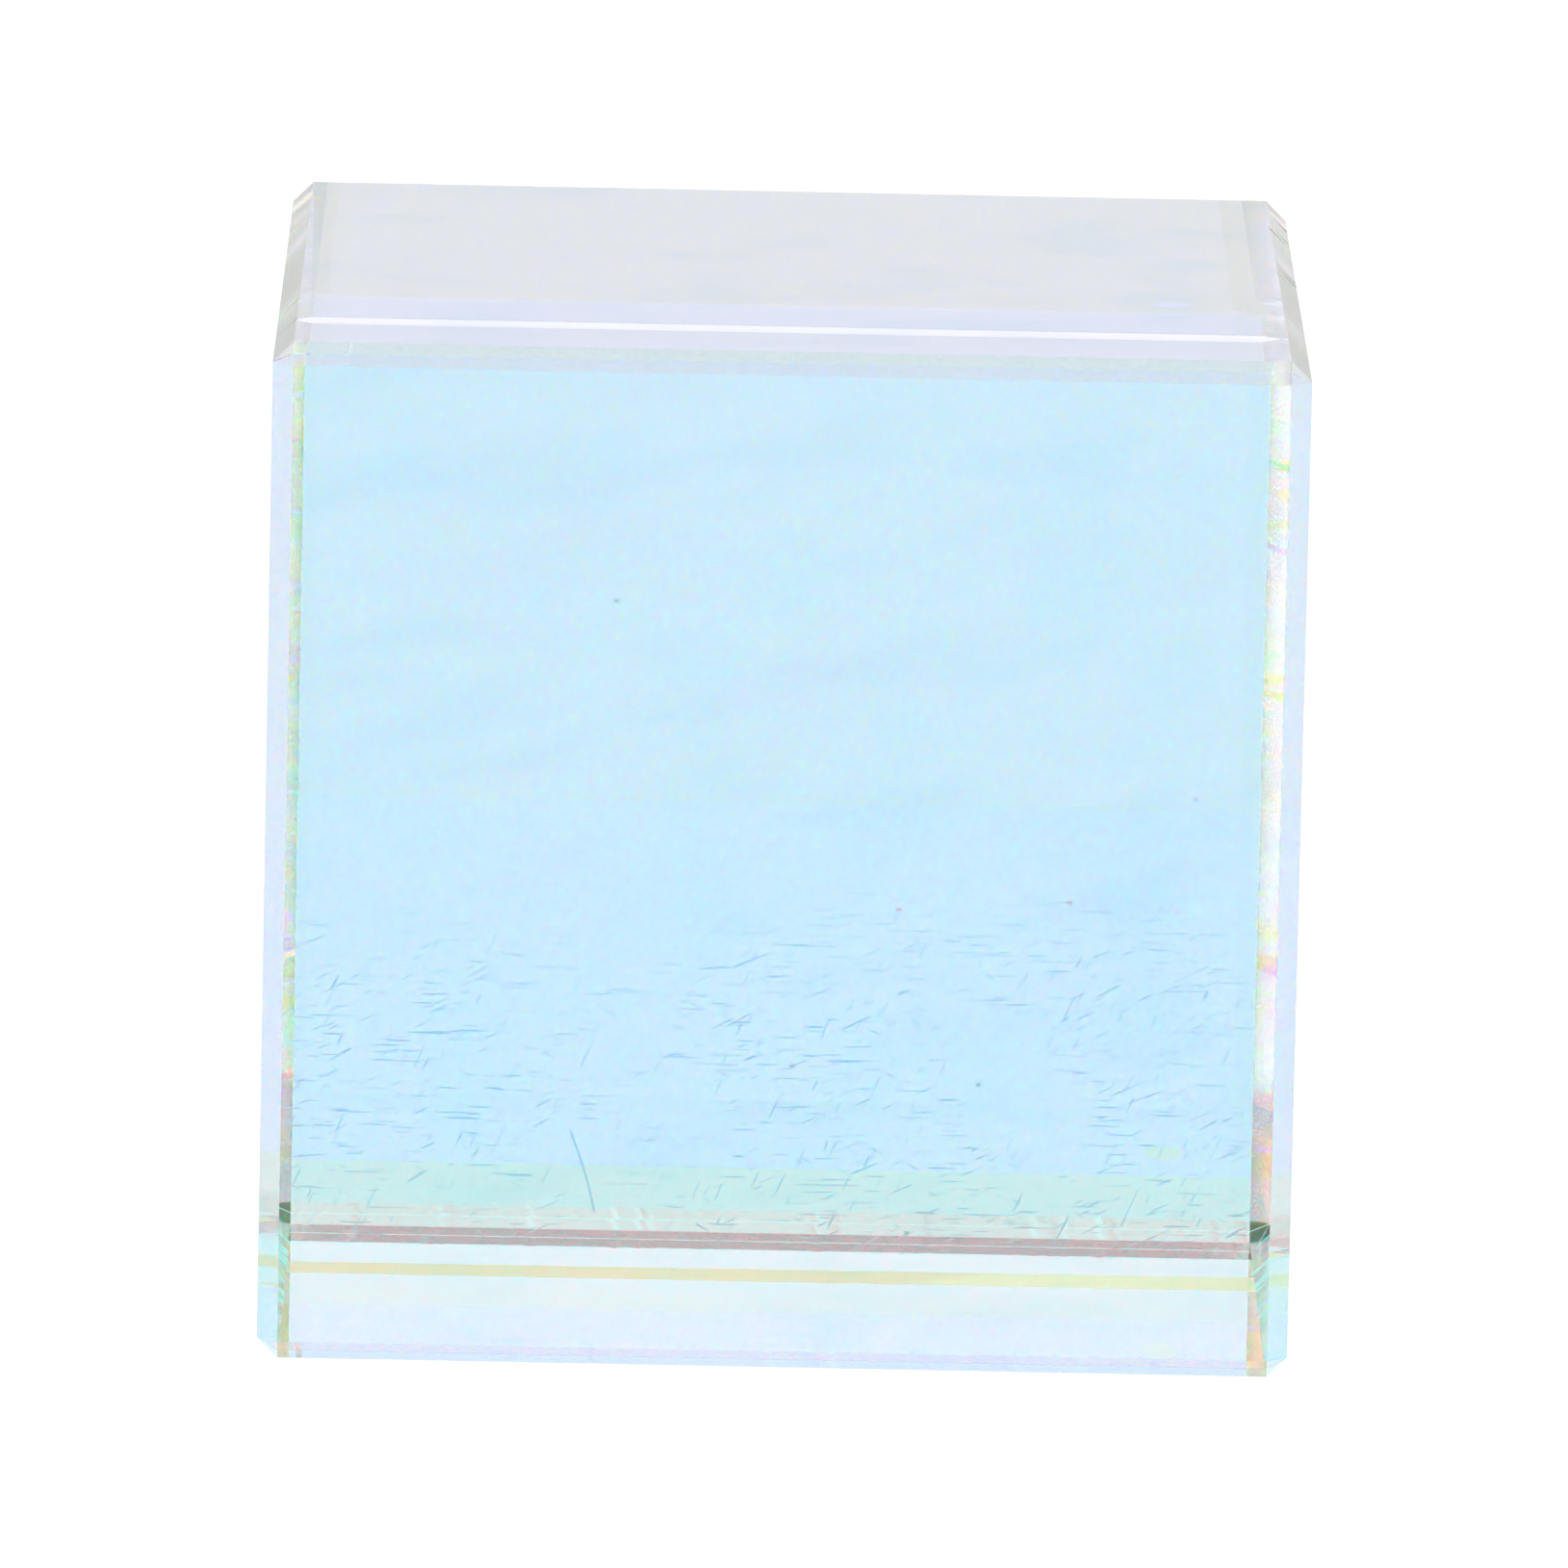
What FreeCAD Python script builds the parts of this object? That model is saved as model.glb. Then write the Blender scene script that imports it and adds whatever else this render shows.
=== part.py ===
"""Cross dichroic prism: a clear glass cube that splits white light into red, green and blue.

Four right-angle glass prisms meet along the cube's middle line. The top and the bottom prism carry
dichroic films on their legs: blue reflectors on one diagonal of the cube, red reflectors on the
other. Optical cement fills the joints, and the cemented block is ground with one bevel all round.

Frame: millimetres, +Z up, origin at the middle of the base. The front window faces -Y, and the
middle line, where the prisms meet, runs along X at half the height.
"""
import FreeCAD, Part
import Sketcher
import os

DOC = FreeCAD.newDocument("cross_dichroic_prism")

# ---------------------------------------------------------------- driving sizes

SIZES = [
    ("side", 20.0, "width, depth and height of the cube"),
    ("bevel", 0.4, "leg of the bevel ground on every edge"),
    ("film", 0.005, "thickness of a dichroic film"),
    ("cement", 0.010, "thickness of the cement between a film and the next prism"),
    ("bare_strip", 1.8, "leg left bare between the lower blue film and the bevel"),
]

SHEET = DOC.addObject("Spreadsheet::Sheet", "sizes")
for row, (alias, value, note) in enumerate(SIZES, start=1):
    SHEET.set(f"A{row}", note)
    SHEET.set(f"B{row}", str(value))
    SHEET.setAlias(f"B{row}", alias)
DOC.recompute()

HALF_SIDE = "sizes.side / 2"
# A joint is one film and one cement layer thick. Its faces lie this far from its middle plane.
JOINT_FACE = "(sizes.film + sizes.cement) / 2"
# The face of a film that the cement wets, from the middle plane of the joint.
FILM_FACE = "(sizes.cement - sizes.film) / 2"
# Along a diagonal of the cube, from the middle line to the unground edge, and to its bevel.
TO_EDGE = "sizes.side / sqrt(2)"
TO_BEVEL = "(sizes.side - sizes.bevel) / sqrt(2)"
# Outlines are first drawn on a circle of this radius.
DRAWN_RADIUS = 10

# ---------------------------------------------------------------- sketches and bars


def minus(text):
    return f"-({text})"


def rectangle(left, right, low, high):
    return [(left, low), (right, low), (right, high), (left, high)]


def closed_outline(body, name, plane_role, corners):
    """A sketch of straight sides through the corners, with every corner bound to the sheet.

    It is first drawn as a regular polygon, and the bound distances then place its corners.
    """
    sketch = body.newObject("Sketcher::SketchObject", name)
    plane = next(f for f in body.Origin.OriginFeatures if f.Role == plane_role)
    sketch.AttachmentSupport = [(plane, "")]
    sketch.MapMode = "FlatFace"
    count = len(corners)
    start = FreeCAD.Vector(DRAWN_RADIUS, 0, 0)
    z_axis = FreeCAD.Vector(0, 0, 1)
    points = [FreeCAD.Rotation(z_axis, 360 * i / count).multVec(start) for i in range(count)]
    for i, point in enumerate(points):
        sketch.addGeometry(Part.LineSegment(point, points[(i + 1) % count]))
    for i in range(count):
        sketch.addConstraint(Sketcher.Constraint("Coincident", i, 2, (i + 1) % count, 1))
    for i, (corner, point) in enumerate(zip(corners, points)):
        for kind, text, drawn in zip(("DistanceX", "DistanceY"), corner, (point.x, point.y)):
            number = sketch.addConstraint(Sketcher.Constraint(kind, -1, 1, i, 1, drawn))
            sketch.setExpression(f"Constraints[{number}]", text)
    return sketch


def raw_bar(name, corners, turn):
    """A bar along X, as long as the cube, drawn about the middle line and turned about it."""
    body = DOC.addObject("PartDesign::Body", name)
    outline = closed_outline(body, name + "_outline", "YZ_Plane", corners)
    pad = body.newObject("PartDesign::Pad", name + "_pad")
    pad.Profile = outline
    pad.SideType = "Symmetric"
    pad.setExpression("Length", "sizes.side")
    body.Placement = FreeCAD.Placement(FreeCAD.Vector(0, 0, 0), turn)
    body.setExpression(".Placement.Base.z", HALF_SIDE)
    return body


def about_x(degrees):
    return FreeCAD.Rotation(FreeCAD.Vector(1, 0, 0), degrees)


# ---------------------------------------------------------------- the ground block


def ground_block():
    """The outer shape that the cemented block is ground to: a cube with its edges bevelled."""
    body = DOC.addObject("PartDesign::Body", "ground_block")
    square = rectangle(minus(HALF_SIDE), HALF_SIDE, minus(HALF_SIDE), HALF_SIDE)
    pad = body.newObject("PartDesign::Pad", "block_pad")
    pad.Profile = closed_outline(body, "block_outline", "XY_Plane", square)
    pad.setExpression("Length", "sizes.side")
    DOC.recompute()
    bevels = body.newObject("PartDesign::Chamfer", "block_bevels")
    bevels.Base = (pad, [f"Edge{i + 1}" for i in range(len(pad.Shape.Edges))])
    bevels.setExpression("Size", "sizes.bevel")
    return body


BLOCK = ground_block()


def ground_piece(label, corners, turn):
    """A finished piece: its raw bar, cut to the ground block."""
    piece = DOC.addObject("Part::Common", label)
    piece.Label = label
    piece.Base = BLOCK
    piece.Tool = raw_bar("raw_" + label, corners, turn)
    return piece


# ---------------------------------------------------------------- prisms

# Each prism's window faces this way from the middle line, turned about X from +Y.
WINDOWS = {"back_prism": 0, "top_prism": 90, "front_prism": 180, "bottom_prism": 270}


def prism(label):
    """A right-angle prism. Its legs are faces of the joints, and its long side is a window."""
    apex = f"sqrt(2) * {JOINT_FACE}"
    reach = f"sizes.side / 2 - {apex}"
    corners = [(apex, "0"), (HALF_SIDE, minus(reach)), (HALF_SIDE, reach)]
    return ground_piece(label, corners, about_x(WINDOWS[label]))


# ---------------------------------------------------------------- joints

# A joint runs from the middle line to a long edge of the cube, turned this far about X from +Y.
LOWER_REAR = -45
UPPER_REAR = 45
UPPER_FRONT = 135
LOWER_FRONT = 225
# On the two blue joints the coated prism is on the other side, so they are turned over.
OVER = FreeCAD.Rotation(FreeCAD.Vector(0, 1, 0), 180)
TURNS = {
    LOWER_REAR: about_x(LOWER_REAR).multiply(OVER),
    UPPER_REAR: about_x(UPPER_REAR),
    UPPER_FRONT: about_x(UPPER_FRONT).multiply(OVER),
    LOWER_FRONT: about_x(LOWER_FRONT),
}
SHORT_FILM_END = f"{TO_BEVEL} - sizes.bare_strip"


def film(label, joint, end):
    """A dichroic film on the coated prism's leg, from the middle line out to its end."""
    return ground_piece(label, rectangle(JOINT_FACE, end, FILM_FACE, JOINT_FACE), TURNS[joint])


def cement_beside_film(label, joint):
    """Cement of a joint whose film covers the whole leg."""
    layer = rectangle(JOINT_FACE, TO_EDGE, minus(JOINT_FACE), FILM_FACE)
    return ground_piece(label, layer, TURNS[joint])


def cement_round_film_end(label, joint):
    """Cement of a joint whose film stops short: it fills the bare strip as well."""
    layer = [
        (JOINT_FACE, minus(JOINT_FACE)),
        (TO_EDGE, minus(JOINT_FACE)),
        (TO_EDGE, JOINT_FACE),
        (SHORT_FILM_END, JOINT_FACE),
        (SHORT_FILM_END, FILM_FACE),
        (JOINT_FACE, FILM_FACE),
    ]
    return ground_piece(label, layer, TURNS[joint])


def cement_between_halves(label):
    """Cement of the whole diagonal that joins the two cemented halves of the cube.

    The rear film lies on its upper face and the front film on its lower face. Between the two
    films, at the middle line, the cement is as thick as the joint.
    """
    layer = [
        (minus(TO_EDGE), minus(FILM_FACE)),
        (minus(JOINT_FACE), minus(FILM_FACE)),
        (minus(JOINT_FACE), minus(JOINT_FACE)),
        (TO_EDGE, minus(JOINT_FACE)),
        (TO_EDGE, FILM_FACE),
        (JOINT_FACE, FILM_FACE),
        (JOINT_FACE, JOINT_FACE),
        (minus(TO_EDGE), JOINT_FACE),
    ]
    return ground_piece(label, layer, TURNS[UPPER_REAR])


# ---------------------------------------------------------------- the assembly

PIECES = [prism(label) for label in WINDOWS]
PIECES += [
    film("blue_film_upper", UPPER_FRONT, TO_EDGE),
    film("blue_film_lower", LOWER_REAR, SHORT_FILM_END),
    film("red_film_rear", UPPER_REAR, TO_EDGE),
    film("red_film_front", LOWER_FRONT, TO_EDGE),
    cement_beside_film("cement_top_to_front", UPPER_FRONT),
    cement_round_film_end("cement_bottom_to_back", LOWER_REAR),
    cement_between_halves("cement_between_halves"),
]
DOC.recompute()

# ---------------------------------------------------------------- tests and export

for thing in DOC.Objects:
    if "Invalid" in thing.State or "Error" in thing.State:
        raise RuntimeError(f"{thing.Label} failed: {thing.State}")
for piece in PIECES:
    if piece.Shape.isNull() or not piece.Shape.isValid() or len(piece.Shape.Solids) != 1:
        raise RuntimeError(f"{piece.Label} is not one valid solid")

filled = sum(piece.Shape.Volume for piece in PIECES)
unfilled = BLOCK.Shape.Volume - filled
print(f"block {BLOCK.Shape.Volume:.4f} mm3, pieces {filled:.4f} mm3, unfilled {unfilled:.6f} mm3")
if abs(unfilled) > 1e-3:
    raise RuntimeError("the pieces don't fill the ground block")

os.makedirs("parts", exist_ok=True)
for piece in PIECES:
    piece.Shape.exportStep(f"parts/{piece.Label}.step")
    print(f"{piece.Label}: {piece.Shape.Volume:.5f} mm3, {len(piece.Shape.Faces)} faces")
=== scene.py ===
"""Looks of the cross dichroic prism: four clear prisms, four dichroic films and their cement.

Metres, in the CAD frame: +Z up, the origin at the middle of the base, the front window facing -Y.
Rays bend only where glass meets air. Faces cemented to each other are clear, and each film has one
face that reflects a band of colour and lets the rest through.
"""
import math
import random

import bmesh
import bpy
from mathutils import Matrix, Vector


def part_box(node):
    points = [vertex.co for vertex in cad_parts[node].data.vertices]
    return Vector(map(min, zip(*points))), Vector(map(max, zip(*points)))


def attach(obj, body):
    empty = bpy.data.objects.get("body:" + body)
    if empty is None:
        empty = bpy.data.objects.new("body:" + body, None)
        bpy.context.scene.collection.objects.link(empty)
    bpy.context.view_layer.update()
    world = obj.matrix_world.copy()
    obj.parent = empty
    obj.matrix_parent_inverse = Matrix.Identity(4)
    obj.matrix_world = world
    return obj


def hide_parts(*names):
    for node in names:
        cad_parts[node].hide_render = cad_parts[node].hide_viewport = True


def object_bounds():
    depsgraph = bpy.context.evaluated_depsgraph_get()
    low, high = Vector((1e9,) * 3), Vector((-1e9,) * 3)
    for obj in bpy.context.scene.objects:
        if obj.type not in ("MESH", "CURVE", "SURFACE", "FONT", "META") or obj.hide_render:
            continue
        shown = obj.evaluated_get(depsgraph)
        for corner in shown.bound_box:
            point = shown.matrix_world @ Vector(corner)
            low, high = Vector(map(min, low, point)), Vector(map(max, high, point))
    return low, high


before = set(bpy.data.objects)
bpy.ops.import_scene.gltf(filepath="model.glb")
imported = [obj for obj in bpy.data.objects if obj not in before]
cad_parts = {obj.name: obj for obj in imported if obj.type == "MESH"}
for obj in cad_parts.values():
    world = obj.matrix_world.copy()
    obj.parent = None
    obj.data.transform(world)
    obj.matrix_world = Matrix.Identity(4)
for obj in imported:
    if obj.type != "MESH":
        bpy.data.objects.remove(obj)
CAD_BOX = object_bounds()

# ---------------------------------------------------------------- sizes, from the frame

MICRON = 1e-6
SIDE = CAD_BOX[1][2] - CAD_BOX[0][2]
HALF = SIDE / 2
# A prism's leg lies this far from the middle plane of its joint.
JOINT_FACE = 7.5 * MICRON
# The legs of the front prism end in the middle of two bevels, so it is one bevel short of the cube.
FRONT_LOW, FRONT_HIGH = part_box("front_prism")
BEVEL = SIDE - (FRONT_HIGH.z - FRONT_LOW.z) - math.sqrt(2) * JOINT_FACE
MIDDLE = Vector((0, 0, HALF))

# ---------------------------------------------------------------- camera

CAMERA_YAW, CAMERA_PITCH, CAMERA_ROLL = (math.radians(a) for a in (0.396, 10.892, 1.216))
CAMERA_PLACE = SIDE * Vector((-0.133, -19.741, 4.283))
SENSOR_MM = 36
LENS_MM = 466.5
CLIP_START = SIDE / 2
CLIP_END = 100


def add_camera():
    """A long lens, a little above the cube and almost square to its front window."""
    ahead = Vector((math.sin(CAMERA_YAW) * math.cos(CAMERA_PITCH),
                    math.cos(CAMERA_YAW) * math.cos(CAMERA_PITCH),
                    -math.sin(CAMERA_PITCH)))
    across = Vector((math.cos(CAMERA_YAW), -math.sin(CAMERA_YAW), 0))
    above = across.cross(ahead)
    right = across * math.cos(CAMERA_ROLL) + above * math.sin(CAMERA_ROLL)
    top = above * math.cos(CAMERA_ROLL) - across * math.sin(CAMERA_ROLL)
    placing = Matrix((right, top, -ahead)).transposed().to_4x4()
    placing.translation = CAMERA_PLACE
    data = bpy.data.cameras.new("camera")
    data.sensor_width = SENSOR_MM
    data.lens = LENS_MM
    data.clip_start = CLIP_START
    data.clip_end = CLIP_END
    camera = bpy.data.objects.new("camera", data)
    bpy.context.scene.collection.objects.link(camera)
    camera.matrix_world = placing
    bpy.context.scene.camera = camera


# ---------------------------------------------------------------- node helpers


class Nodes:
    """Adds nodes to one node tree, with their settings and links given by name."""

    def __init__(self, tree):
        self.tree = tree
        self.tree.nodes.clear()

    def add(self, kind, inputs=None, **settings):
        node = self.tree.nodes.new(kind)
        for name, value in settings.items():
            setattr(node, name, value)
        for name, value in (inputs or {}).items():
            if isinstance(value, bpy.types.NodeSocket):
                self.tree.links.new(value, node.inputs[name])
            else:
                node.inputs[name].default_value = value
        return node

    def math(self, operation, *values):
        node = self.tree.nodes.new("ShaderNodeMath")
        node.operation = operation
        for socket, value in zip(node.inputs, values):
            if isinstance(value, bpy.types.NodeSocket):
                self.tree.links.new(value, socket)
            else:
                socket.default_value = value
        return node.outputs["Value"]

    def smooth(self, value, start, end, low=0.0, high=1.0):
        """low before start, high after end, and a smooth step between."""
        node = self.add("ShaderNodeMapRange",
                        {"Value": value, "From Min": start, "From Max": end,
                         "To Min": low, "To Max": high},
                        interpolation_type="SMOOTHSTEP")
        return node.outputs["Result"]

    def ramp(self, factor, stops):
        """A colour ramp through (place, colour) stops."""
        node = self.add("ShaderNodeValToRGB", {"Fac": factor})
        elements = node.color_ramp.elements
        while len(elements) < len(stops):
            elements.new(0.5)
        for element, (place, colour) in zip(elements, stops):
            element.position = place
            element.color = (*colour, 1)
        return node.outputs["Color"]

    def mix(self, factor, first, second):
        node = self.add("ShaderNodeMix", data_type="RGBA")
        for socket, value in ((node.inputs[0], factor), (node.inputs[6], first),
                              (node.inputs[7], second)):
            if isinstance(value, bpy.types.NodeSocket):
                self.tree.links.new(value, socket)
            else:
                socket.default_value = (*value, 1) if isinstance(value, tuple) else value
        return node.outputs[2]

    def facing(self):
        """1 minus the cosine of the angle between the ray and the surface's normal."""
        return self.add("ShaderNodeLayerWeight", {"Blend": 0.5}).outputs["Facing"]

    def output(self, shader):
        self.add("ShaderNodeOutputMaterial", {"Surface": shader})


def material(name, build):
    """A material whose nodes are made by build(nodes), which returns the surface shader."""
    made = bpy.data.materials.new(name)
    made.use_nodes = True
    nodes = Nodes(made.node_tree)
    nodes.output(build(nodes))
    return made


def place_mm(nodes):
    """The place on the object, in millimetres, as a vector and its X, Y and Z."""
    where = nodes.add("ShaderNodeTexCoord").outputs["Object"]
    scaled = nodes.add("ShaderNodeVectorMath", {0: where, "Scale": 1000.0}, operation="SCALE")
    split = nodes.add("ShaderNodeSeparateXYZ", {0: scaled.outputs["Vector"]})
    return scaled.outputs["Vector"], split.outputs["X"], split.outputs["Y"], split.outputs["Z"]


def stretched(nodes, vector, scale, turn=0.0, shift=0.0):
    """The place turned about Y, as the windows face that way, and then scaled along each axis."""
    turned = nodes.add("ShaderNodeMapping", {"Vector": vector, "Rotation": (0, turn, 0),
                                             "Location": (shift, shift, shift)})
    node = nodes.add("ShaderNodeMapping", {"Vector": turned.outputs["Vector"], "Scale": scale})
    return node.outputs["Vector"]


def noise(nodes, vector, scale, detail=2.0, roughness=0.5):
    node = nodes.add("ShaderNodeTexNoise", {"Vector": vector, "Scale": scale, "Detail": detail,
                                            "Roughness": roughness})
    return node.outputs["Fac"]


# ---------------------------------------------------------------- glass materials

GLASS_IOR = 1.52
CLEAR = (1.0, 1.0, 1.0)
# What the base and the rear window let through, on top of their smudges. The rear window's is painted
# shade: an even grey that stands in for the cube's shadow on the floor behind it.
REAR_PAINTED_SHADE = (0.66, 0.82, 0.85)
BASE_CAST = (1.0, 0.96, 1.0)
SMUDGE_TINT = (0.95, 0.98, 0.992)
# Where the smudges' noise turns from clean glass to smudge, and the scratches' from none to all.
SMUDGE_RANGE = (0.52, 0.68)
SCRATCHED_RANGE = (0.38, 0.52)
SCRATCH_TINT = (0.62, 0.8, 0.92)
SCRATCH_ROUGHNESS = 0.25
# The short scratches fade out between these heights, in millimetres, above and below.
SCRATCHED_TOP = (11.5, 6.5)
SCRATCHED_FOOT = (2.0, 3.2)
# Sets of scratches: slope, noise scale along the slope and across it, and how rare they are.
SCRATCHES = ((0.0, 0.6, 11.0, 0.682), (0.45, 0.9, 10.0, 0.708), (-0.5, 0.9, 10.0, 0.708),
             (1.15, 0.8, 10.0, 0.722))
SCRATCH_SCALE = 1.9
SCRATCH_EDGE = 0.02
# Each set is taken this much further along in the noise, so that the sets don't repeat.
SCRATCH_SHIFT = 5.0
# One long scratch on the front window, in millimetres: where it ends low down, and how it bends.
LONG_SCRATCH_X = -3.5
LONG_SCRATCH_LOW = 3.1
LONG_SCRATCH_HIGH = 4.7
LONG_SCRATCH_LEAN = -0.2
LONG_SCRATCH_BEND = -0.07
LONG_SCRATCH_WIDTH = 0.022
# The strip of adhesive on the base, in millimetres along Y, and how far its rear edge slants.
RESIDUE_FRONT = 2.6
RESIDUE_REAR = 4.35
RESIDUE_SKEW = 0.018
RESIDUE_RAGGED = 0.3
RESIDUE_TINTS = ((0.93, 0.94, 0.64), (0.94, 0.9, 0.54))
RESIDUE_TRANSLUCENT = 0.8
# It starts to show at the first of these values of Nodes.facing, and is fullest at the second.
RESIDUE_ANGLES = (0.3, 0.75)
RESIDUE_COVER = 0.85
# The ground bevels: how rough, how frosted at most, and the bump of their grain.
BEVEL_ROUGHNESS = (0.04, 0.1)
FROST_WHITE = (0.95, 0.96, 0.97, 1)
MOST_FROST = 0.12
GRAIN_DEPTH = 10 * MICRON
GRAIN_STRENGTH = 0.04


def scratch_mask(nodes, vector):
    """Fine short scratches in patches. Most are level, and a few slope or stand upright."""
    sets = []
    for number, (slope, along, across, rarity) in enumerate(SCRATCHES):
        drawn_out = stretched(nodes, vector, (along, along, across), slope, SCRATCH_SHIFT * number)
        lines = noise(nodes, drawn_out, SCRATCH_SCALE, detail=1.0)
        sets.append(nodes.smooth(lines, rarity, rarity + SCRATCH_EDGE))
    while len(sets) > 1:
        sets.append(nodes.math("MAXIMUM", sets.pop(0), sets.pop(0)))
    patches = noise(nodes, vector, 0.22, detail=2.0)
    return nodes.math("MULTIPLY", sets[0], nodes.smooth(patches, *SCRATCHED_RANGE))


def long_scratch(nodes, x, y, height):
    """The one scratch that runs down the front window in a shallow curve."""
    rise = nodes.math("SUBTRACT", height, LONG_SCRATCH_LOW)
    slope = nodes.math("MULTIPLY_ADD", rise, LONG_SCRATCH_BEND, LONG_SCRATCH_LEAN)
    middle = nodes.math("MULTIPLY_ADD", rise, slope, LONG_SCRATCH_X)
    line = nodes.math("COMPARE", x, middle, LONG_SCRATCH_WIDTH)
    span = nodes.math("MULTIPLY", nodes.math("GREATER_THAN", height, LONG_SCRATCH_LOW),
                      nodes.math("LESS_THAN", height, LONG_SCRATCH_HIGH))
    in_front = nodes.math("LESS_THAN", y, 0.0)
    return nodes.math("MULTIPLY", line, nodes.math("MULTIPLY", span, in_front))


def polished_glass(nodes, glass_tint_and_painted_shade=CLEAR):
    """Polished optical glass: handling smudges, and fine scratches in its lower half."""
    vector, x, y, height = place_mm(nodes)
    smears = noise(nodes, stretched(nodes, vector, (0.5, 0.5, 1.7), 0.2), 0.5, detail=4.0)
    smudge = nodes.smooth(smears, *SMUDGE_RANGE)
    low = nodes.math("MULTIPLY", nodes.smooth(height, *SCRATCHED_TOP),
                     nodes.smooth(height, *SCRATCHED_FOOT))
    scratch = nodes.math("MULTIPLY", scratch_mask(nodes, vector), low)
    scratch = nodes.math("MAXIMUM", scratch, long_scratch(nodes, x, y, height))
    rough = nodes.math("MULTIPLY", scratch, SCRATCH_ROUGHNESS)
    # On the rear window, the glass's tint here is painted shade.
    tint = nodes.mix(smudge, glass_tint_and_painted_shade, tuple(a * b for a, b in zip(glass_tint_and_painted_shade, SMUDGE_TINT)))
    tint = nodes.mix(scratch, tint, SCRATCH_TINT)
    return nodes.add("ShaderNodeBsdfGlass", {"Color": tint, "Roughness": rough,
                                             "IOR": GLASS_IOR}).outputs["BSDF"]


def rear_window_painted_shade(nodes):
    """The rear window: polished too, under an even grey of painted shade, which stands in for the
    cube's shadow on the floor behind it.
    """
    return polished_glass(nodes, glass_tint_and_painted_shade=REAR_PAINTED_SHADE)


def base_window(nodes):
    """The base window: polished, with a strip of old yellow adhesive across it.

    The layer is thin and clear straight through. Flat to the glass, light crosses much more of it,
    so it scatters yellow there, where the clean window would mirror.
    """
    vector, x, y, _ = place_mm(nodes)
    ragged = nodes.math("MULTIPLY_ADD", noise(nodes, vector, 1.5, detail=3.0), RESIDUE_RAGGED,
                        -RESIDUE_RAGGED / 2)
    across = nodes.math("ADD", y, ragged)
    rear_edge = nodes.math("MULTIPLY_ADD", x, RESIDUE_SKEW, RESIDUE_REAR)
    starts = nodes.math("GREATER_THAN", across, RESIDUE_FRONT)
    ends = nodes.math("LESS_THAN", across, rear_edge)
    mottle = nodes.smooth(noise(nodes, vector, 2.5, detail=4.0), 0.3, 0.7)
    tint = nodes.mix(mottle, *RESIDUE_TINTS)
    matt = nodes.add("ShaderNodeBsdfDiffuse", {"Color": tint})
    lit_through = nodes.add("ShaderNodeBsdfTranslucent", {"Color": tint})
    residue = nodes.add("ShaderNodeMixShader", {0: RESIDUE_TRANSLUCENT, 1: matt.outputs[0],
                                                2: lit_through.outputs[0]})
    thick = nodes.smooth(nodes.facing(), *RESIDUE_ANGLES, 0.0, RESIDUE_COVER)
    where = nodes.math("MULTIPLY", nodes.math("MULTIPLY", starts, ends), thick)
    both = nodes.add("ShaderNodeMixShader", {0: where, 1: polished_glass(nodes, glass_tint_and_painted_shade=BASE_CAST),
                                             2: residue.outputs[0]})
    return both.outputs["Shader"]


def ground(nodes):
    """A fine-ground bevel: nearly clear, with a light grain and slightly matt patches."""
    vector, _, _, _ = place_mm(nodes)
    grain = noise(nodes, vector, 14.0, detail=6.0, roughness=0.7)
    patch = nodes.smooth(noise(nodes, vector, 1.3, detail=3.0), 0.35, 0.7)
    rough = nodes.smooth(patch, 0.0, 1.0, *BEVEL_ROUGHNESS)
    tint = nodes.mix(patch, CLEAR, (0.985, 0.99, 0.985))
    bump = nodes.add("ShaderNodeBump", {"Strength": GRAIN_STRENGTH, "Distance": GRAIN_DEPTH,
                                        "Height": grain})
    clear = nodes.add("ShaderNodeBsdfGlass", {"Color": tint, "Roughness": rough, "IOR": GLASS_IOR,
                                              "Normal": bump.outputs["Normal"]})
    matt = nodes.add("ShaderNodeBsdfDiffuse", {"Color": FROST_WHITE})
    lit_through = nodes.add("ShaderNodeBsdfTranslucent", {"Color": FROST_WHITE})
    frost = nodes.add("ShaderNodeMixShader", {0: 0.5, 1: matt.outputs[0],
                                              2: lit_through.outputs[0]})
    both = nodes.add("ShaderNodeMixShader", {0: nodes.smooth(grain, 0.3, 0.8, 0.0, MOST_FROST),
                                             1: clear.outputs[0], 2: frost.outputs[0]})
    return both.outputs["Shader"]


def cemented(nodes):
    """A prism leg: optically one with the cement, apart from a few specks of dust in it."""
    vector, _, _, _ = place_mm(nodes)
    cell = nodes.add("ShaderNodeTexVoronoi", {"Vector": vector, "Scale": 0.45, "Randomness": 1.0})
    speck = nodes.smooth(cell.outputs["Distance"], 0.035, 0.02)
    tint = nodes.mix(speck, CLEAR, (0.8, 0.83, 0.86))
    return nodes.add("ShaderNodeBsdfTransparent", {"Color": tint}).outputs["BSDF"]


# ---------------------------------------------------------------- films

# What a film passes and reflects, against 1 minus the cosine of the angle to its face in glass.
# The bands move to shorter waves as the angle grows.
BLUE_PASSES = ((0.0, (0.98, 0.8, 0.05)), (0.1, (0.98, 0.9, 0.04)), (0.25, (0.99, 0.99, 0.03)),
               (0.5, (0.99, 0.99, 0.04)), (0.7, (0.96, 0.94, 0.35)), (0.88, (0.12, 0.14, 0.2)),
               (1.0, (0.03, 0.03, 0.04)))
BLUE_REFLECTS = ((0.0, (0.01, 0.16, 0.97)), (0.1, (0.01, 0.07, 0.95)), (0.25, (0.0, 0.0, 0.965)),
                 (0.5, (0.0, 0.0, 0.95)), (0.7, (0.01, 0.03, 0.6)), (0.88, (0.84, 0.8, 0.72)),
                 (1.0, (0.95, 0.95, 0.94)))
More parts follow.
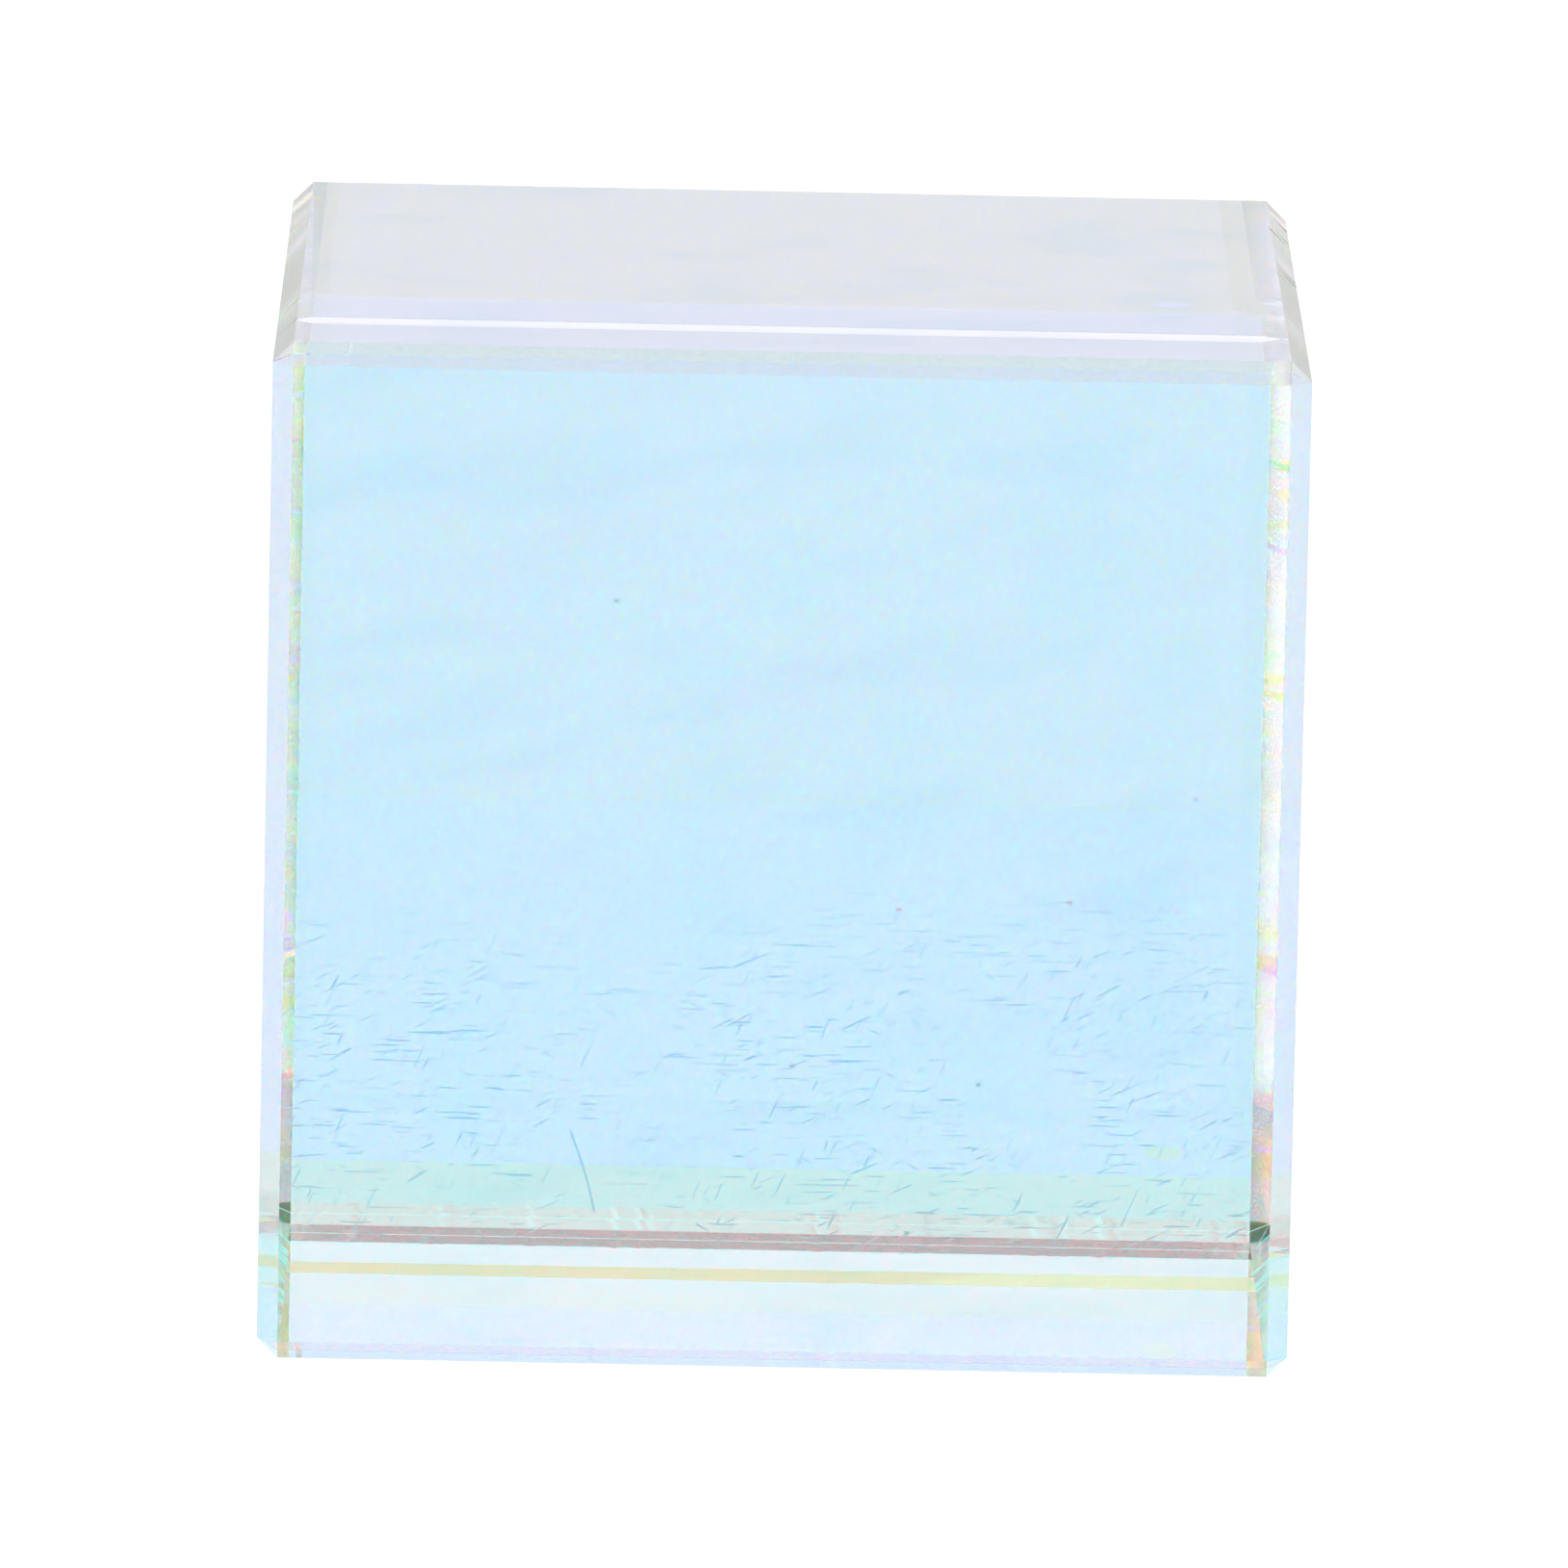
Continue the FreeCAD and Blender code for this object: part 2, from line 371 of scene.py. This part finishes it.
RED_PASSES = ((0.0, (0.66, 0.74, 0.98)), (0.07, (0.7, 0.9, 0.96)), (0.13, (0.3, 0.95, 0.96)),
              (0.2, (0.03, 0.97, 0.97)), (0.4, (0.03, 0.97, 0.97)), (0.6, (0.05, 0.55, 0.95)),
              (0.88, (0.15, 0.15, 0.3)), (1.0, (0.03, 0.03, 0.04)))
RED_REFLECTS = ((0.0, (0.1, 0.03, 0.0)), (0.07, (0.2, 0.02, 0.0)), (0.13, (0.65, 0.0, 0.0)),
                (0.2, (0.94, 0.0, 0.0)), (0.4, (0.94, 0.0, 0.0)), (0.6, (0.93, 0.4, 0.02)),
                (0.88, (0.82, 0.8, 0.62)), (1.0, (0.95, 0.95, 0.94)))
# How far an uneven coating moves the bands, on the ramps' own scale.
BAND_SHIFT = 0.02


def dichroic(passes, reflects):
    """A film's bright face. Its coating is a little uneven, so its bands shift from place to place."""

    def build(nodes):
        vector, _, _, _ = place_mm(nodes)
        uneven = noise(nodes, vector, 0.35, detail=3.0)
        centred = nodes.math("SUBTRACT", nodes.facing(), BAND_SHIFT / 2)
        shifted = nodes.math("MULTIPLY_ADD", uneven, BAND_SHIFT, centred)
        through = nodes.add("ShaderNodeBsdfTransparent", {"Color": nodes.ramp(shifted, passes)})
        mirror = nodes.add("ShaderNodeBsdfGlossy",
                           {"Color": nodes.ramp(shifted, reflects), "Roughness": 0.0})
        both = nodes.add("ShaderNodeAddShader", {0: through.outputs[0], 1: mirror.outputs[0]})
        return both.outputs["Shader"]

    return build


def film_side(nodes):
    """The film's other faces, which the cement wets."""
    vector, _, _, _ = place_mm(nodes)
    tint = nodes.mix(noise(nodes, vector, 3.0), CLEAR, (0.985, 0.99, 0.995))
    return nodes.add("ShaderNodeBsdfTransparent", {"Color": tint}).outputs["BSDF"]


def clear_cement(nodes):
    """Cured optical cement: clear, with a trace of yellow that varies along the joint."""
    vector, _, _, _ = place_mm(nodes)
    tint = nodes.mix(noise(nodes, vector, 0.6, detail=3.0), CLEAR, (0.995, 0.993, 0.98))
    return nodes.add("ShaderNodeBsdfTransparent", {"Color": tint}).outputs["BSDF"]


# ---------------------------------------------------------------- meshes

# The material slots of a prism. Only the bottom and the back prism have a special window.
WINDOW, GROUND, JOINT, SPECIAL = range(4)
# The base and the rear window, as the axis and the sign of the way they face.
BASE = (2, -1)
REAR = (1, 1)
EDGE_STEPS = 160
# How far the borders of the windows are worn back, everywhere and where they are chipped.
WORN = 1.5 * MICRON
CHIPPED = (8 * MICRON, 30 * MICRON)
CHIPS_AT_BASE = 0.08
CHIPS_ELSEWHERE = 0.02


def ordered(by_axis):
    """The values of a dictionary with the keys 0, 1 and 2, in that order."""
    return tuple(by_axis[axis] for axis in range(3))


class ChippedBlock:
    """The ground block as a mesh: windows, strips of bevel with chipped borders, and corners.

    It is centred on the origin. The chips only ever take glass away.
    """

    def __init__(self, seed):
        self.draw = random.Random(seed)
        self.mesh = bmesh.new()
        self.reach = HALF - BEVEL
        self.rows = {}
        self.corners = {}
        for axis in range(3):
            for sign in (-1, 1):
                self.add_window(axis, sign)
        for axis, sign, next_axis, next_sign in list(self.rows):
            if axis < next_axis:
                self.add_bevel(axis, sign, next_axis, next_sign)
        self.add_corners()
        bmesh.ops.recalc_face_normals(self.mesh, faces=self.mesh.faces[:])

    def vertex(self, place):
        return self.mesh.verts.new(Vector(ordered(place)))

    def chip(self, at_base):
        """How far the border of a window is chipped back here."""
        worn = self.draw.uniform(0, WORN)
        if self.draw.random() < (CHIPS_AT_BASE if at_base else CHIPS_ELSEWHERE):
            worn += self.draw.uniform(*CHIPPED)
        return worn

    def add_window(self, axis, sign):
        others = [other for other in range(3) if other != axis]
        for first in (-1, 1):
            for second in (-1, 1):
                signs = {axis: sign, others[0]: first, others[1]: second}
                place = {i: signs[i] * (HALF if i == axis else self.reach) for i in range(3)}
                self.corners[axis, ordered(signs)] = self.vertex(place)
        for toward, along in (others, others[::-1]):
            for side in (-1, 1):
                self.rows[axis, sign, toward, side] = self.border(axis, sign, toward, side, along)
        loop = (self.rows[axis, sign, others[0], 1][:-1]
                + self.rows[axis, sign, others[1], 1][::-1][:-1]
                + self.rows[axis, sign, others[0], -1][::-1][:-1]
                + self.rows[axis, sign, others[1], -1][:-1])
        special = (axis, sign) in (BASE, REAR)
        self.mesh.faces.new(loop).material_index = SPECIAL if special else WINDOW

    def border(self, axis, sign, toward, side, along):
        """The border of a window beside one bevel, from its low corner to its high corner."""
        at_base = BASE in ((axis, sign), (toward, side))
        row = []
        for step in range(EDGE_STEPS + 1):
            signs = {axis: sign, toward: side}
            if step in (0, EDGE_STEPS):
                signs[along] = 1 if step else -1
                row.append(self.corners[axis, ordered(signs)])
                continue
            place = self.reach * (2 * step / EDGE_STEPS - 1)
            row.append(self.vertex({axis: sign * HALF, along: place,
                                    toward: side * (self.reach - self.chip(at_base))}))
        return row

    def add_bevel(self, axis, sign, next_axis, next_sign):
        one = self.rows[axis, sign, next_axis, next_sign]
        other = self.rows[next_axis, next_sign, axis, sign]
        for step in range(EDGE_STEPS):
            quad = (one[step], one[step + 1], other[step + 1], other[step])
            self.mesh.faces.new(quad).material_index = GROUND

    def add_corners(self):
        for x_sign in (-1, 1):
            for y_sign in (-1, 1):
                for z_sign in (-1, 1):
                    signs = (x_sign, y_sign, z_sign)
                    facet = [self.corners[axis, signs] for axis in range(3)]
                    self.mesh.faces.new(facet).material_index = GROUND


# Vertices this close to a cutting plane count as on it.
ON_PLANE = 1e-9


def keep_side(mesh, point, outward):
    """Cuts a closed mesh by a plane, keeps what lies behind it and closes the cut."""
    everything = mesh.verts[:] + mesh.edges[:] + mesh.faces[:]
    cut = bmesh.ops.bisect_plane(mesh, geom=everything, dist=ON_PLANE, plane_co=point,
                                 plane_no=outward, clear_outer=True)
    edges = [item for item in cut["geom_cut"] if isinstance(item, bmesh.types.BMEdge)]
    bmesh.ops.edgeloop_fill(mesh, edges=edges, mat_nr=JOINT)


def finished(name, mesh, materials):
    """An object from a mesh that is centred on the middle of the cube."""
    bmesh.ops.recalc_face_normals(mesh, faces=mesh.faces[:])
    bmesh.ops.translate(mesh, verts=mesh.verts[:], vec=MIDDLE)
    data = bpy.data.meshes.new(name)
    mesh.to_mesh(data)
    mesh.free()
    for one in materials:
        data.materials.append(one)
    made = bpy.data.objects.new(name, data)
    bpy.context.scene.collection.objects.link(made)
    return made


DIAGONALS = {"rising": Vector((0, -1, 1)).normalized(), "falling": Vector((0, 1, 1)).normalized()}
# Whether a prism lies above (1) or below (-1) the rising and the falling diagonal.
PRISM_SIDES = {
    "top_prism": (1, 1),
    "bottom_prism": (-1, -1),
    "front_prism": (1, -1),
    "back_prism": (-1, 1),
}
BLOCK_SEED = 20


def add_prism(name, materials):
    """A quarter of the chipped block, on its own side of both diagonals."""
    above_rising, above_falling = PRISM_SIDES[name]
    block = ChippedBlock(BLOCK_SEED).mesh
    for side, key in ((above_rising, "rising"), (above_falling, "falling")):
        inward = side * DIAGONALS[key]
        keep_side(block, inward * JOINT_FACE, -inward)
    prism = finished(name + "_glass", block, materials)
    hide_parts(name)
    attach(prism, "root")


# A film's bright face keeps clear of the leg beside it, and its rim keeps clear of the middle line
# and of the ground surface, because Cycles can't order faces that coincide.
FILM_BRIGHT_FACE = 6.5 * MICRON
FILM_THICKNESS = 3 * MICRON
FILM_START = 2 * MICRON
FILM_SHRINK = 1 - 1e-4


def film_end_outline(end):
    """The right half of a film's outer end, as (along X, along the leg) pairs.

    A film with no end of its own runs to the bevels, which cut its corners.
    """
    if end is None:
        return [(HALF, math.sqrt(2) * (HALF - BEVEL)),
                (HALF - BEVEL, math.sqrt(2) * (HALF - BEVEL / 2))]
    return [(HALF, end)]


def add_film(name, outward, toward, materials, end=None, pinhole=None):
    """A film on a prism's leg, as a plate between its two faces.

    outward points from the leg's glass to the cement, and toward points along the leg, away from
    the middle line.
    """
    right = film_end_outline(end)
    left = [(-x, along) for x, along in right[::-1]]
    loops = [[(-HALF, FILM_START), (HALF, FILM_START)] + right + left]
    if pinhole:
        loops.append(pinhole)
    mesh = bmesh.new()
    edges = []
    for loop in loops:
        row = [mesh.verts.new(Vector((x * FILM_SHRINK, 0, 0)) + toward * along * FILM_SHRINK)
               for x, along in loop]
        for i, vertex in enumerate(row):
            edges.append(mesh.edges.new((vertex, row[(i + 1) % len(row)])))
    bmesh.ops.triangle_fill(mesh, edges=edges, use_beauty=True)
    bright = mesh.faces[:]
    thick = bmesh.ops.extrude_face_region(mesh, geom=bright)
    wetted = [item for item in thick["geom"] if isinstance(item, bmesh.types.BMVert)]
    bmesh.ops.translate(mesh, verts=mesh.verts[:], vec=-outward * FILM_BRIGHT_FACE)
    bmesh.ops.translate(mesh, verts=wetted, vec=outward * FILM_THICKNESS)
    for face in mesh.faces:
        face.material_index = 0 if face in bright else 1
    made = finished(name + "_coating", mesh, materials)
    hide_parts(name)
    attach(made, "root")
    return made


# ---------------------------------------------------------------- stage

# The light level against the height of its direction, from the horizon (0) to straight above (1).
FRONT_LIGHT = ((0.0, 1.3), (0.45, 1.2), (0.8, 0.93), (0.96, 0.568), (1.0, 0.62))
BACK_LIGHT = ((0.0, 1.22), (0.23, 1.2), (0.4, 0.79), (0.6, 0.77), (0.9, 0.66), (0.98, 0.84),
              (1.0, 0.74))
# The front turns to back, and the middle to the sides, between these shares of the direction.
FRONT_TO_BACK = (-0.2, 0.2)
MIDDLE_TO_SIDES = (0.55, 0.95)
# How much dimmer the light from the sides is, in the front half.
SIDE_SHADE = 0.58
# The ramps hold levels as shares of this one.
FULL_LEVEL = 2.0


def greys(levels):
    """Colour ramp stops from (height, light level) pairs."""
    return [(height, (level / FULL_LEVEL,) * 3) for height, level in levels]


def add_world():
    """Soft studio light: bright low down in front and behind, and dimmer high up and beside."""
    world = bpy.data.worlds.new("studio")
    bpy.context.scene.world = world
    world.use_nodes = True
    nodes = Nodes(world.node_tree)
    direction = nodes.add("ShaderNodeTexCoord").outputs["Generated"]
    split = nodes.add("ShaderNodeSeparateXYZ", {0: direction})
    up = split.outputs["Z"]
    behind = nodes.smooth(split.outputs["Y"], *FRONT_TO_BACK)
    beside = nodes.smooth(nodes.math("ABSOLUTE", split.outputs["X"]), *MIDDLE_TO_SIDES)
    shaded = nodes.math("MULTIPLY", beside, nodes.math("SUBTRACT", 1.0, behind))
    front = nodes.ramp(up, greys(FRONT_LIGHT))
    back = nodes.ramp(up, greys(BACK_LIGHT))
    strength = nodes.math("MULTIPLY_ADD", shaded, -SIDE_SHADE * FULL_LEVEL, FULL_LEVEL)
    light = nodes.add("ShaderNodeBackground", {"Color": nodes.mix(behind, front, back),
                                               "Strength": strength})
    nodes.add("ShaderNodeOutputWorld", {"Surface": light.outputs["Background"]})


# The floor's own light, in the open and where the glass standing on it gathers light.
OPEN_FLOOR = 1.03
UNDER_GLASS = 1.08
# It changes between these distances from the middle of the cube, in millimetres.
UNDER_GLASS_EDGE = (9.9, 9.0)
FLOOR_GREY = (0.06, 0.06, 0.06, 1)
FLOOR_REACH = 600 * SIDE
# The floor lies just below the base window, so that the two faces don't coincide.
FLOOR_HEIGHT = -3 * MICRON


def floor_surface(nodes):
    """A light table: it glows evenly, and a little more under the cube."""
    _, x, y, _ = place_mm(nodes)
    inside = nodes.math("MAXIMUM", nodes.math("ABSOLUTE", x), nodes.math("ABSOLUTE", y))
    strength = nodes.smooth(inside, *UNDER_GLASS_EDGE, OPEN_FLOOR, UNDER_GLASS)
    glow = nodes.add("ShaderNodeEmission", {"Color": (1, 1, 1, 1), "Strength": strength})
    matt = nodes.add("ShaderNodeBsdfDiffuse", {"Color": FLOOR_GREY})
    return nodes.add("ShaderNodeAddShader", {0: glow.outputs[0], 1: matt.outputs[0]}).outputs[0]


def add_floor():
    corners = [(x * FLOOR_REACH, y * FLOOR_REACH, FLOOR_HEIGHT)
               for x, y in ((-1, -1), (1, -1), (1, 1), (-1, 1))]
    data = bpy.data.meshes.new("floor")
    data.from_pydata(corners, [], [(0, 1, 2, 3)])
    data.materials.append(material("light_table", floor_surface))
    made = bpy.data.objects.new("floor", data)
    bpy.context.scene.collection.objects.link(made)


# ---------------------------------------------------------------- the model

add_camera()
add_world()
add_floor()

POLISHED = material("polished_window", polished_glass)
GROUND_BEVEL = material("ground_bevel", ground)
CEMENTED = material("cemented_leg", cemented)
SPECIAL_WINDOWS = {
    "bottom_prism": [material("base_window", base_window)],
    # The rear window's material has painted shade in its glass tint.
    "back_prism": [material("rear_window_painted_shade", rear_window_painted_shade)],
}
for label in PRISM_SIDES:
    add_prism(label, [POLISHED, GROUND_BEVEL, CEMENTED] + SPECIAL_WINDOWS.get(label, []))

WETTED = material("film_wetted_side", film_side)
BLUE = [material("blue_dichroic", dichroic(BLUE_PASSES, BLUE_REFLECTS)), WETTED]
RED = [material("red_dichroic", dichroic(RED_PASSES, RED_REFLECTS)), WETTED]

rising, falling = DIAGONALS["rising"], DIAGONALS["falling"]
rear_up = Vector((0, 1, 1)).normalized()
rear_down = Vector((0, 1, -1)).normalized()

_, lower_film_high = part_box("blue_film_lower")
film_end = math.sqrt(2) * lower_film_high.y

# An oval hole in the lower blue film's coating, beside its end: how far right of the middle and
# above the base it lies, and its half width and half height.
HOLE_RIGHT = 0.39 * SIDE
HOLE_ABOVE = 0.101 * SIDE
HOLE_HALF_WIDTH = 0.0185 * SIDE
HOLE_HALF_HEIGHT = 0.012 * SIDE
HOLE_CORNERS = 24
hole_along = math.sqrt(2) * (HALF - HOLE_ABOVE)
turns = [math.tau * i / HOLE_CORNERS for i in range(HOLE_CORNERS)]
hole = [(HOLE_RIGHT + HOLE_HALF_WIDTH * math.cos(turn),
         hole_along + HOLE_HALF_HEIGHT * math.sin(turn)) for turn in turns]

for label, outward, toward, materials, end, pinhole, slot in (
        ("blue_film_upper", -falling, -rear_down, BLUE, None, None, "blue_reflecting_film"),
        ("blue_film_lower", falling, rear_down, BLUE, film_end, hole, "blue_reflecting_film"),
        ("red_film_rear", -rising, rear_up, RED, None, None, "red_reflecting_film"),
        ("red_film_front", rising, -rear_up, RED, None, None, "red_reflecting_film")):
    add_film(label, outward, toward, materials, end, pinhole)

CEMENT = material("clear_cement", clear_cement)
for label in ("cement_top_to_front", "cement_bottom_to_back", "cement_between_halves"):
    for material_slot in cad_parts[label].material_slots:
        material_slot.material = CEMENT

# A ray can be turned back many times between the windows and the films.
BOUNCES = 24
CLEAR_CROSSINGS = 64

scene = bpy.context.scene
scene.view_settings.view_transform = "Standard"
scene.cycles.transparent_max_bounces = CLEAR_CROSSINGS
scene.cycles.max_bounces = BOUNCES
scene.cycles.transmission_bounces = BOUNCES
scene.cycles.glossy_bounces = BOUNCES
